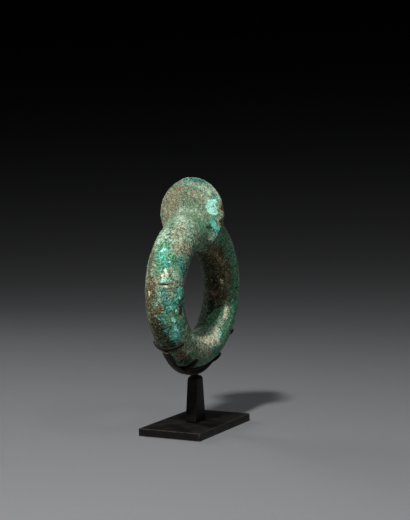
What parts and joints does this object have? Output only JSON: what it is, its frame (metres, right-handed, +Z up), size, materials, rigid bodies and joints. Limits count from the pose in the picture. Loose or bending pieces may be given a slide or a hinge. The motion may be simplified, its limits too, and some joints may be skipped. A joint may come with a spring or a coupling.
{
  "type": "bronze bracelet on a stand",
  "caption": "Thick open bronze ring with two large disc ends face to face, held upright by a strip with claws on a post and flat plate.",
  "frame": {"origin": "centre of the base plate's underside", "axes": "+Z up, +X along the ring's plane and the plate's length, -Y towards the front, the side with the chipped disc edge"},
  "size_m": [0.116, 0.05, 0.1805],
  "materials": {
    "bronze": "rough green copper-corrosion crust over bronze, with turquoise, cream, brown and dark pitted areas",
    "cradle_metal": "blackened brass, satin, brown where the edges are rubbed",
    "plate_metal": "dark brown patinated metal, satin, lighter along the edges",
    "liner_leather": "thin dark brown leather, matt, with cut edges"
  },
  "bodies": {
    "root": {"bracelet": "bronze", "cradle_strip": "cradle_metal", "cradle_liner": "liner_leather", "claw_left_end": "cradle_metal", "claw_left_mid": "cradle_metal", "claw_right_mid": "cradle_metal", "claw_right_end": "cradle_metal", "post": "cradle_metal", "base_plate": "plate_metal"}
  },
  "joints": []
}
